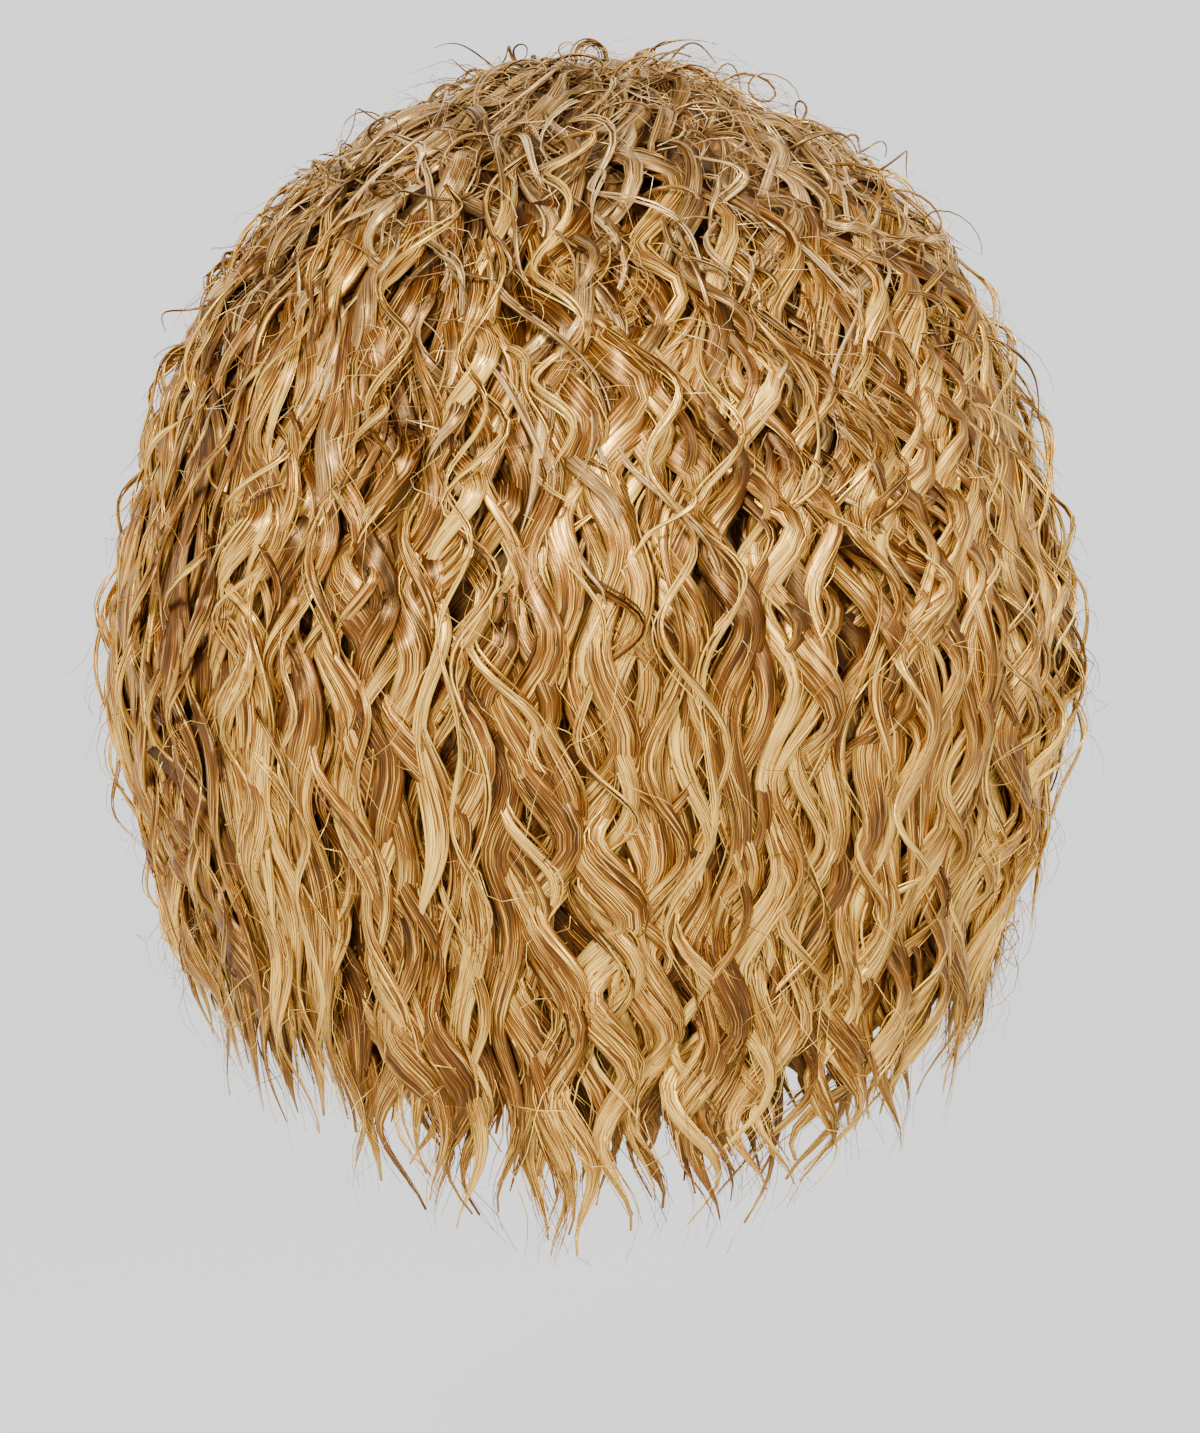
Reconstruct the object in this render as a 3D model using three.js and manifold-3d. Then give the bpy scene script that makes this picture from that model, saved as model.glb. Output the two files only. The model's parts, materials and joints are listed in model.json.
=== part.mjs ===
// A short wavy wig: a stretch cap with wefts of waved hair sewn round it.
// Millimetres, +Z up. The face looks along -Y, so the wearer's left side is at +X.
// The origin is the inside top of the cap, where the crown of the head sits.
// A place round the head is a turn in degrees: 0 at the middle of the back, 90 at the
// wearer's left ear, 180 at the middle of the forehead and -90 at the right ear.

import * as THREE from "three";
import { mergeVertices } from "three/addons/utils/BufferGeometryUtils.js";
import Module from "manifold-3d";

// The cap, measured inside
const HEAD_BREADTH = 156;
const HEAD_LENGTH = 198;
const DOME_HEIGHT = 105; // from the head's widest level up to its top
const CAP_DROP = 160; // from the top of the head down to the nape edge
const CAP_WALL = 1.5;
const SEAT_GAP = 0.3; // between the cap and the wefts sewn on it

// The hair as it stands out round the head
const HAIR_WIDTH = 322; // across the fullest waves, over both ears
const HAIR_BACK = 154; // from the middle of the head to the back of the hair
const HAIR_FRONT = 122; // from the middle of the head to the hair over the brow
const CROWN_LIFT = 27; // hair over the top of the head
const HAIR_DROP = 370; // from the top of the head to the longest tip

// One lock and its wave
const LOCK_THICKNESS = 13;
const CROWN_THICKNESS = 11;
const CROWN_TIP_DEPTH = 1.2; // of the tips of the crown layer, below the outer form
const INNER_THICKNESS = 20; // locks of the under layers, which are fuller
const TIER_GAP = 2.5; // air between one layer of hair and the next
const WAVE_LENGTH = 60;
const WAVE_SWAY = 6.5; // to each side of a lock's middle line
const WAVE_LIFT = 1.0; // in and out of the layer
const WAVE_START = 0.12; // share of the way down over which the wave grows to its full size
const WEFT_HEIGHT = 10;
const WEFT_THICKNESS = 4;
const CROWN_PATCH = 30; // drop of the cap's top that the crown layer is sewn to

// How finely the forms are faceted
const CAP_SIDES = 32;
const CAP_ROWS = 6;
const CROWN_ROWS = 12;
const CROWN_INSIDE_ROWS = 4;
const OUTER_ROWS = 18;
const UNDER_ROWS = 14;
const FRONT_ROWS = 11;

const HAIR_COLOUR = 0xcf9f5c;
const UNDER_COLOUR = 0xa87434;
const CAP_COLOUR = 0x8a6238;

// The cap's lower edge: how far it drops at each turn, in shares of CAP_DROP.
// It arches over the ears, with a tab in front of each, and rises to the hairline.
const CAP_EDGE = [
  { turn: 0, drop: 1.0 },
  { turn: 35, drop: 0.96 },
  { turn: 60, drop: 0.8 },
  { turn: 82, drop: 0.6 },
  { turn: 104, drop: 0.7 },
  { turn: 122, drop: 0.6 },
  { turn: 145, drop: 0.4 },
  { turn: 165, drop: 0.32 },
  { turn: 180, drop: 0.31 },
];

// The hair's outer form from its top to its longest tip. "along" is the share of the
// way down over the hair, "level" the share of the whole height, and the other columns
// are shares of half HAIR_WIDTH, of HAIR_BACK and of HAIR_FRONT.
const OUTER_FORM = [
  { along: 0.0, level: 0.0, wide: 0.0, back: 0.0, front: 0.0 },
  { along: 0.07, level: 0.008, wide: 0.21, back: 0.2, front: 0.29 },
  { along: 0.14, level: 0.045, wide: 0.4, back: 0.4, front: 0.54 },
  { along: 0.22, level: 0.1, wide: 0.6, back: 0.61, front: 0.78 },
  { along: 0.29, level: 0.162, wide: 0.73, back: 0.76, front: 0.93 },
  { along: 0.37, level: 0.245, wide: 0.84, back: 0.88, front: 1.0 },
  { along: 0.48, level: 0.368, wide: 0.93, back: 0.96, front: 0.99 },
  { along: 0.6, level: 0.505, wide: 1.0, back: 1.0, front: 0.97 },
  { along: 0.7, level: 0.63, wide: 0.95, back: 0.96, front: 0.92 },
  { along: 0.8, level: 0.75, wide: 0.86, back: 0.89, front: 0.86 },
  { along: 0.9, level: 0.876, wide: 0.78, back: 0.83, front: 0.8 },
  { along: 1.0, level: 1.0, wide: 0.7, back: 0.78, front: 0.74 },
];

// Where the tips of the outer layer end at each turn, as a share of the way down.
const OUTER_HEM = [
  { turn: 0, along: 0.97 },
  { turn: 30, along: 0.945 },
  { turn: 60, along: 0.895 },
  { turn: 90, along: 0.855 },
  { turn: 120, along: 0.83 },
  { turn: 150, along: 0.8 },
  { turn: 180, along: 0.78 },
];

// The same for the short top layer, which stops at the hairline in front.
const CROWN_HEM = [
  { turn: 0, along: 0.45 },
  { turn: 60, along: 0.43 },
  { turn: 110, along: 0.4 },
  { turn: 145, along: 0.33 },
  { turn: 180, along: 0.27 },
];

const wasm = await Module();
wasm.setup();

const { clamp, degToRad, euclideanModulo, lerp, smoothstep } = THREE.MathUtils;

// Reads a column of a table between its rows, on a smooth curve through them.
function readTable(table, key, column, at) {
  const last = table.length - 1;
  let row = 0;
  while (row < last - 1 && at > table[row + 1][key]) row++;
  const [low, high] = [table[row], table[row + 1]];
  const before = table[Math.max(row - 1, 0)];
  const after = table[Math.min(row + 2, last)];
  const span = high[key] - low[key];
  const slope = (a, b) => ((b[column] - a[column]) / (b[key] - a[key])) * span;
  const t = clamp((at - low[key]) / span, 0, 1);
  const [rise, run] = [slope(before, high), slope(low, after)];
  const step = high[column] - low[column];
  return (
    low[column] +
    t * rise +
    t * t * (3 * step - 2 * rise - run) +
    t * t * t * (rise + run - 2 * step)
  );
}

// A point round the head at a turn, from the half width and the front and back reach.
function roundHead(turn, halfWidth, back, front, height) {
  const angle = degToRad(turn);
  const reach = Math.cos(angle) > 0 ? back : front;
  return new THREE.Vector3(
    halfWidth * Math.sin(angle),
    reach * Math.cos(angle),
    height,
  );
}

// The cap's inside surface, "grow" further out, at a drop below the top of the head.
function capPoint(turn, drop, grow = 0) {
  const dome = DOME_HEIGHT + grow;
  const down = Math.min(drop + grow, dome) / dome;
  const round = Math.sqrt(Math.max(0, 1 - (1 - down) ** 2));
  const under = Math.max(0, drop - DOME_HEIGHT) / DOME_HEIGHT;
  const share = round * (1 - 0.5 * under ** 2); // the skull turns in above the neck
  const halfBreadth = (HEAD_BREADTH / 2 + grow) * share;
  const halfLength = (HEAD_LENGTH / 2 + grow) * share;
  return roundHead(turn, halfBreadth, halfLength, halfLength, -drop);
}

// The hair's outer form at a turn, at a share of the way down over it.
function outerPoint(turn, along) {
  const read = (column) => readTable(OUTER_FORM, "along", column, along);
  return roundHead(
    turn,
    (HAIR_WIDTH / 2) * read("wide"),
    HAIR_BACK * read("back"),
    HAIR_FRONT * read("front"),
    CROWN_LIFT - (CROWN_LIFT + HAIR_DROP) * read("level"),
  );
}

// The direction straight out of the outer form, which is up at its top.
function outward(turn, along) {
  if (along <= 0) return new THREE.Vector3(0, 0, 1);
  const [nudge, low] = [0.01, Math.max(along, 0.02)];
  const down = outerPoint(turn, low + nudge).sub(outerPoint(turn, low - nudge));
  const across = outerPoint(turn + 1, low).sub(outerPoint(turn - 1, low));
  return across.cross(down).normalize();
}

// The length of the way down over the middle of the back.
function wayDown() {
  const samples = 40;
  let length = 0;
  for (let i = 0; i < samples; i++)
    length += outerPoint(0, i / samples).distanceTo(
      outerPoint(0, (i + 1) / samples),
    );
  return length;
}
const WAY_DOWN = wayDown();

// A closed mesh as a solid.
function solidOf(geometry) {
  geometry.deleteAttribute("normal");
  geometry.deleteAttribute("uv");
  const merged = mergeVertices(geometry, 1e-3);
  return new wasm.Manifold(
    new wasm.Mesh({
      numProp: 3,
      vertProperties: merged.attributes.position.array,
      triVerts: new Uint32Array(merged.index.array),
    }),
  );
}

// A solid moulded from a template: every corner of the template goes where place says.
function moulded(template, place) {
  const { position, uv } = template.attributes;
  for (let i = 0; i < position.count; i++) {
    const at = new THREE.Vector3().fromBufferAttribute(position, i);
    position.setXYZ(i, ...place(at, uv.getX(i), 1 - uv.getY(i)).toArray());
  }
  return solidOf(template);
}

// A dome with a wall, from a ball: its upper rows are the outside, from the top down to
// the edge, and its lower rows the inside, back up to the top. surface(turn, share,
// outside) gives the point at a share of the way down.
function dome(sides, outsideRows, insideRows, surface) {
  const rows = outsideRows + insideRows + 1;
  return moulded(new THREE.SphereGeometry(1, sides, rows), (_, round, down) => {
    const row = Math.round(down * rows);
    const outside = row <= outsideRows;
    const share = outside ? row / outsideRows : (rows - row) / insideRows;
    return surface(180 - 360 * round, share, outside);
  });
}

// A point of the cap, "skin" outside its inner face, at a share of the way from its top
// to its edge, which follows the hairline.
function capSurface(turn, share, skin) {
  const edge = CAP_DROP * readTable(CAP_EDGE, "turn", "drop", Math.abs(turn));
  const bend = 1 - Math.cos((Math.PI / 2) * share);
  return capPoint(turn, lerp(-skin, edge, bend), skin);
}

// The cap: a thin dome, open below and in front.
function cap() {
  return dome(CAP_SIDES, CAP_ROWS, CAP_ROWS, (turn, share, outside) =>
    capSurface(turn, share, outside ? CAP_WALL : 0),
  );
}

// The cap with the head in it, and the gap round it: what the crown is seated on.
function cappedHead() {
  const middle = new THREE.Vector3(0, 0, -CAP_DROP / 4);
  const inset = 0.9;
  return dome(CAP_SIDES, CAP_ROWS, 1, (turn, share, outside) => {
    const edge = capSurface(turn, outside ? share : 1, CAP_WALL + SEAT_GAP);
    return outside ? edge : edge.lerp(middle, 1 - inset * share);
  });
}

// How a layer's locks stand at a place in it: "place" counts locks, so a whole number is
// the valley between two locks and the rest is across one. Each lock has a ridge, a
// shoulder behind it and a valley; the ridge hangs longest, as the lock's tip.
const LOCK_FORM = [
  { full: 0.3, notch: 1 },
  { full: 1, notch: 0 },
  { full: 0.85, notch: 0.4 },
];
const COLUMNS = LOCK_FORM.length;

// A lock's thickness runs out at its tip as the cosine of this angle, which leaves the tip
// a little flat instead of an edge without thickness.
const TIP_TAPER = 0.97 * (Math.PI / 2);

// Each lock's own length differs a little from its neighbours'.
const uneven = (lockNumber) => Math.sin(2.4 * lockNumber + 1);

// A point of a layer of hair. "turn" is where its column hangs, "column" its number,
// "share" how far down it, and "side" is 1 on its outer face and -1 on its inner one.
function layerPoint(layer, turn, column, share, side) {
  const lockNumber = Math.floor(column / COLUMNS);
  const form = LOCK_FORM[column % COLUMNS];
  const level = lerp(layer.leave, layer.hem(turn), share);
  const apart = smoothstep(share, 0.45, 1) ** 2;
  const longer = layer.uneven * uneven(lockNumber) * (1 - form.notch) * share;
  const along = level + longer - form.notch * layer.notch * apart;
  const out = outward(turn, along);
  const aside = new THREE.Vector3(0, 0, 1).cross(out).normalize();
  const beat = (2 * Math.PI * along * WAY_DOWN) / WAVE_LENGTH + layer.beat(turn);
  const loose = smoothstep(along, layer.leave, layer.leave + WAVE_START);
  const centre = outerPoint(turn, along)
    .addScaledVector(out, loose * WAVE_LIFT * Math.cos(beat) - layer.depth(turn, along))
    .addScaledVector(aside, loose * WAVE_SWAY * Math.sin(beat));
  const thin = Math.cos(TIP_TAPER * smoothstep(share, layer.taperFrom, 1));
  const ridged = lerp(0.5, form.full, smoothstep(share, 0, 0.15));
  const half = (layer.thickness / 2) * ridged * thin;
  return centre.addScaledVector(out, side * half);
}

// A layer that hangs from a weft: a slab of fused locks, whose top edge lies on the cap
// and whose lower edge parts into tips. It runs from a turn on the left to one on the
// right.
function hangingLayer(layer) {
  const columns = layer.locks * COLUMNS;
  const { rows } = layer;
  const slab = new THREE.BoxGeometry(1, 1, 1, columns, rows, 1);
  return moulded(slab, ({ x, y, z }) => {
    const across = x + 0.5;
    const share = 0.5 - y;
    const side = Math.sign(z);
    const turn = lerp(layer.left, layer.right, across);
    const hung = lerp(layer.tipLeft ?? layer.left, layer.tipRight ?? layer.right, across);
    const at = lerp(turn, hung, share);
    const column = Math.round(across * columns);
    const seat = CAP_WALL + SEAT_GAP + (side > 0 ? WEFT_THICKNESS : 0);
    const root = capPoint(turn, layer.rootDrop + WEFT_HEIGHT * Math.min(1, share * rows), seat);
    const risen = smoothstep(share, 1.5 / rows, layer.rise);
    return layerPoint(layer, at, column, share, side).lerp(root, 1 - risen);
  });
}

// The short top layer: locks that fall all round from the crown. It is thick in the
// middle, where it is sewn to the cap.
function crownLayer(layer) {
  const columns = layer.locks * COLUMNS;
  return dome(columns, CROWN_ROWS, CROWN_INSIDE_ROWS, (turn, share, outside) => {
    const column = euclideanModulo(Math.round(((180 - turn) / 360) * columns), columns);
    const side = outside ? 1 : -1;
    const point = layerPoint(layer, turn, column, share, side);
    if (outside) return point;
    const seat = capPoint(turn, CROWN_PATCH * share);
    return point.lerp(seat, 1 - smoothstep(share, 0.25, 0.5));
  }).subtract(cappedHead());
}

const crownHem = (turn) => readTable(CROWN_HEM, "turn", "along", Math.abs(turn));
const outerHem = (turn) => readTable(OUTER_HEM, "turn", "along", Math.abs(turn));

// How deep the middle of each layer lies below the outer form. The crown layer's tips lie
// out on the long outer layer, which runs under it and comes out below those tips. The
// under layers lie inside that one.
const crownDepth = (turn, along) => {
  const hem = crownHem(turn);
  return lerp(CROWN_THICKNESS / 2, CROWN_TIP_DEPTH, smoothstep(along, 0.6 * hem, hem));
};
const outerDepth = (turn, along) => {
  const hem = crownHem(turn);
  const out = smoothstep(along, 0.68 * hem, 1.3 * hem);
  return LOCK_THICKNESS / 2 + lerp(CROWN_THICKNESS + TIER_GAP, 0, out);
};
const underDepth = (turn, along) =>
  outerDepth(turn, along) + LOCK_THICKNESS / 2 + TIER_GAP + INNER_THICKNESS / 2;

// The waves of neighbouring locks are a little out of step, by a whole number of waves
// all round the head.
const wavesOf = (waves, start) => (turn) =>
  start + 0.9 * Math.sin(3 * degToRad(turn)) + waves * degToRad(turn);

const OUTER_LAYER = {
  rows: OUTER_ROWS,
  rootDrop: 30,
  leave: 0.25,
  rise: 0.3,
  hem: outerHem,
  uneven: 0.018,
  notch: 0.13,
  taperFrom: 0.6,
  depth: outerDepth,
  thickness: LOCK_THICKNESS,
  beat: wavesOf(2, 0.4),
  colour: HAIR_COLOUR,
};
const UNDER_LAYER = {
  ...OUTER_LAYER,
  rows: UNDER_ROWS,
  leave: 0.4,
  rise: 0.35,
  depth: underDepth,
  thickness: INNER_THICKNESS,
  beat: wavesOf(2, 1.6),
  colour: UNDER_COLOUR,
};
const FRONT_LAYER = {
  ...OUTER_LAYER,
  rows: FRONT_ROWS,
  locks: 3,
  leave: 0.22,
  rise: 0.3,
  hem: () => 0.6,
};
const TEMPLE_LAYER = {
  ...UNDER_LAYER,
  locks: 2,
  rootDrop: 62,
  leave: 0.34,
  rise: 0.45,
  hem: () => 0.8,
};

// Where the back hair ends and the side hair begins, and where the side hair ends.
const [BACK_END, SIDE_START, SIDE_END] = [84, 86, 145];

const LAYERS = {
  back_hair: { ...OUTER_LAYER, locks: 14, left: BACK_END, right: -BACK_END },
  left_side_hair: { ...OUTER_LAYER, locks: 5, left: SIDE_END, right: SIDE_START },
  right_side_hair: { ...OUTER_LAYER, locks: 5, left: -SIDE_START, right: -SIDE_END },
  left_front_hair: { ...FRONT_LAYER, left: 179, right: 150, tipLeft: 163, tipRight: 149 },
  right_front_hair: { ...FRONT_LAYER, left: -150, right: -179, tipLeft: -149, tipRight: -163 },
  nape_hair: {
    ...UNDER_LAYER,
    locks: 8,
    rootDrop: 105,
    left: 78,
    right: -78,
    hem: (turn) => outerHem(turn) + 0.012,
  },
  left_temple_hair: { ...TEMPLE_LAYER, left: 142, right: 86 },
  right_temple_hair: { ...TEMPLE_LAYER, left: -86, right: -142 },
};
const CROWN_LAYER = {
  ...OUTER_LAYER,
  locks: 20,
  leave: 0,
  hem: crownHem,
  uneven: 0.02,
  notch: 0.11,
  taperFrom: 0.5,
  depth: crownDepth,
  thickness: CROWN_THICKNESS,
};

// A named mesh of a solid.
function piece(name, solid, colour, roughness) {
  const { numProp, numVert, vertProperties, triVerts } = solid.getMesh();
  const corners = new Float32Array(numVert * 3);
  for (let i = 0; i < numVert; i++)
    corners.set(vertProperties.subarray(i * numProp, i * numProp + 3), i * 3);
  const geometry = new THREE.BufferGeometry()
    .setAttribute("position", new THREE.BufferAttribute(corners, 3))
    .setIndex(new THREE.BufferAttribute(triVerts, 1));
  geometry.computeVertexNormals();
  const material = new THREE.MeshStandardMaterial({ color: colour, roughness });
  const mesh = new THREE.Mesh(geometry, material);
  mesh.name = name;
  return mesh;
}

const wig = new THREE.Group();
wig.add(piece("cap", cap(), CAP_COLOUR, 0.9));
wig.add(piece("crown_hair", crownLayer(CROWN_LAYER), HAIR_COLOUR, 0.5));
for (const [name, layer] of Object.entries(LAYERS))
  wig.add(piece(name, hangingLayer(layer), layer.colour, 0.5));

export default wig;
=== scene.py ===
"""The looks of a short wavy wig: waved locks of glossy fibre round a stretch cap.

Metres, +Z up. The open front looks along -Y and the wig's left side is at +X, as in the
frame. A place in the hair is a turn round the wig in degrees, 0 at the middle of the back
and 90 at the left side, and a share of the way down over the hair's outer form.
"""

import json
import logging
from dataclasses import dataclass, field, replace
from enum import Enum

import bmesh
import bpy
import numpy as np
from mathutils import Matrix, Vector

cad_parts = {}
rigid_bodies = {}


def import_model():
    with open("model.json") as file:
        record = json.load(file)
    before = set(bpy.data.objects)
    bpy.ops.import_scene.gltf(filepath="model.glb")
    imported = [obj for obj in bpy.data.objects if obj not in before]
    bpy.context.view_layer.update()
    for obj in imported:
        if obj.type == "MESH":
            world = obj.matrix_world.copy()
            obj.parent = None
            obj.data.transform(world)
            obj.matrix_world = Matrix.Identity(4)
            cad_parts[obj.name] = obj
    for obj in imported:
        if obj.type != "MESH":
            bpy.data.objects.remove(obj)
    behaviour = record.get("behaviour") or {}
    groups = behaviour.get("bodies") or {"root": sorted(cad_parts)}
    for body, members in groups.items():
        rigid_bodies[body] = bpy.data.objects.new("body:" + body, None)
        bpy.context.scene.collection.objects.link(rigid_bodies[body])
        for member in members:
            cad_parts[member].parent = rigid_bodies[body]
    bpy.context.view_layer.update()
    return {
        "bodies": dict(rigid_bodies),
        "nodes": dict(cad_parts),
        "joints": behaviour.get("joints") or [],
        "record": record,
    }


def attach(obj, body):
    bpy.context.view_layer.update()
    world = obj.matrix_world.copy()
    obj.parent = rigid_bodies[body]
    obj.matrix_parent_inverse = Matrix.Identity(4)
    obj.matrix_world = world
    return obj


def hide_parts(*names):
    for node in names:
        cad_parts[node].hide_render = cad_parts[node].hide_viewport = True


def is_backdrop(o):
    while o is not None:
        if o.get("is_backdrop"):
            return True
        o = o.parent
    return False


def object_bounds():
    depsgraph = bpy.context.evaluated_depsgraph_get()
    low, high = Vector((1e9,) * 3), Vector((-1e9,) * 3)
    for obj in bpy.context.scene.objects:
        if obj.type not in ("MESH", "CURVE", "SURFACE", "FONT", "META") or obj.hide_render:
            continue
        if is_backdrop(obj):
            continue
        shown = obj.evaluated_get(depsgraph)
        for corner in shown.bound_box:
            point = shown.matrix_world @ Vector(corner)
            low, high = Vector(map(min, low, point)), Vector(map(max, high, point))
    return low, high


log = logging.getLogger("wig")

MM = 0.001
TURN = 2.0 * np.pi

Array = np.ndarray
Range = tuple[float, float]

HEM_ENDS: Range = (-0.045, 0.027)  # where the locks end, as shares of the way down from the hem
WISP_ENDS: Range = (-0.16, 0.024)


def smoothstep(at: Array, low: float, high: float) -> Array:
    """Rises smoothly from 0 at low to 1 at high."""
    t = np.clip((at - low) / (high - low), 0.0, 1.0)
    return t * t * (3.0 - 2.0 * t)


def unit(vectors: Array) -> Array:
    """Scales vectors to a length of 1."""
    return vectors / np.maximum(np.linalg.norm(vectors, axis=-1, keepdims=True), 1e-9)


@dataclass(frozen=True)
class FormRow:
    """One level of the hair's outer form, as shares of its sizes."""

    along: float
    level: float
    wide: float
    back: float
    front: float


@dataclass(frozen=True)
class HemRow:
    """How far down the tips end at one turn from the middle of the back."""

    turn: float
    along: float


FORM_ROWS = (
    FormRow(0.0, 0.0, 0.0, 0.0, 0.0),
    FormRow(0.07, 0.008, 0.21, 0.2, 0.29),
    FormRow(0.14, 0.045, 0.4, 0.4, 0.54),
    FormRow(0.22, 0.1, 0.6, 0.61, 0.78),
    FormRow(0.29, 0.162, 0.73, 0.76, 0.93),
    FormRow(0.37, 0.245, 0.84, 0.88, 1.0),
    FormRow(0.48, 0.368, 0.93, 0.96, 0.99),
    FormRow(0.6, 0.505, 1.0, 1.0, 0.97),
    FormRow(0.7, 0.63, 0.95, 0.96, 0.92),
    FormRow(0.8, 0.75, 0.86, 0.89, 0.86),
    FormRow(0.9, 0.876, 0.78, 0.83, 0.8),
    FormRow(1.0, 1.0, 0.7, 0.78, 0.74),
)
HEM_ROWS = (
    HemRow(0.0, 0.97),
    HemRow(30.0, 0.945),
    HemRow(60.0, 0.895),
    HemRow(90.0, 0.855),
    HemRow(120.0, 0.83),
    HemRow(150.0, 0.8),
    HemRow(180.0, 0.78),
)


def read_rows(rows: tuple, key: str, column: str, at: Array) -> Array:
    """Reads a column of a table between its rows, on a smooth curve through them.

    Args:
        rows: The table, in the order of its key.
        key: The field that says where each row stands.
        column: The field to read.
        at: Where to read it.

    Returns:
        The column's value at each place.
    """
    places = np.array([getattr(row, key) for row in rows])
    values = np.array([getattr(row, column) for row in rows])
    slopes = np.empty_like(values)
    slopes[1:-1] = (values[2:] - values[:-2]) / (places[2:] - places[:-2])
    slopes[0] = (values[1] - values[0]) / (places[1] - places[0])
    slopes[-1] = (values[-1] - values[-2]) / (places[-1] - places[-2])
    at = np.clip(at, places[0], places[-1])
    row = np.clip(np.searchsorted(places, at, side="right") - 1, 0, len(rows) - 2)
    span = places[row + 1] - places[row]
    t = (at - places[row]) / span
    rise, run = slopes[row] * span, slopes[row + 1] * span
    step = values[row + 1] - values[row]
    curve = t * rise + t**2 * (3 * step - 2 * rise - run) + t**3 * (rise + run - 2 * step)
    return values[row] + curve


@dataclass(frozen=True)
class HairForm:
    """The outer form of the hair, from the box that the frame's solids fill."""

    half_width: float
    back: float
    front: float
    lift: float
    drop: float
    nudge: float = 0.012  # share of the way down between the points that give a direction
    highest: float = 0.03  # no direction is read nearer to the pole than this
    lowest: float = 0.985
    measures: int = 60  # points along the way down that give its length

    @classmethod
    def of_frame(cls) -> "HairForm":
        """Takes the sizes from the frame's own box."""
        low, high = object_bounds()
        return cls(max(-low[0], high[0]), high[1], -low[1], high[2], -low[2])

    def point(self, turn: Array, along: Array) -> Array:
        """Gives points of the outer form.

        Args:
            turn: Turns round the wig, in degrees.
            along: Shares of the way down.

        Returns:
            The points, with a last axis of three.
        """
        angle = np.radians(turn)
        wide, back, front, level = (
            read_rows(FORM_ROWS, "along", column, along) for column in ("wide", "back", "front", "level")
        )
        reach = np.where(np.cos(angle) > 0, back * self.back, front * self.front)
        x = wide * self.half_width * np.sin(angle)
        y = reach * np.cos(angle)
        z = self.lift - (self.lift + self.drop) * level
        return np.stack(np.broadcast_arrays(x, y, z), axis=-1)

    def directions(self, turn: Array, along: Array) -> tuple[Array, Array]:
        """Gives the way straight out of the form and the level way along it.

        Args:
            turn: Turns round the wig, in degrees.
            along: Shares of the way down.

        Returns:
            The outward and the sideways directions.
        """
        low = np.clip(along, self.highest, self.lowest)
        down = self.point(turn, low + self.nudge) - self.point(turn, low - self.nudge)
        across = self.point(turn + 1.0, low) - self.point(turn - 1.0, low)
        out = unit(np.cross(across, down))
        return out, unit(across)

    def way_down(self) -> float:
        """Measures the way down over the middle of the back."""
        line = self.point(np.zeros(self.measures), np.linspace(0.0, 1.0, self.measures))
        return float(np.linalg.norm(np.diff(line, axis=0), axis=1).sum())

    def hem(self, turn: Array) -> Array:
        """Gives the share of the way down where the tips end at a turn."""
        folded = np.abs((turn + 180.0) % 360.0 - 180.0)
        return read_rows(HEM_ROWS, "turn", "along", folded)


class Strand(Enum):
    """The section of a swept strand: where its corners lie, in degrees, 90 outwards."""

    FINE = (30.0, 150.0, 270.0)
    SMALL_BUNDLE = (-10.0, 30.0, 70.0, 110.0, 150.0, 190.0, 270.0)
    BUNDLE = (-12.0, 14.0, 39.0, 65.0, 90.0, 115.0, 141.0, 166.0, 192.0, 235.0, 305.0)


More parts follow.
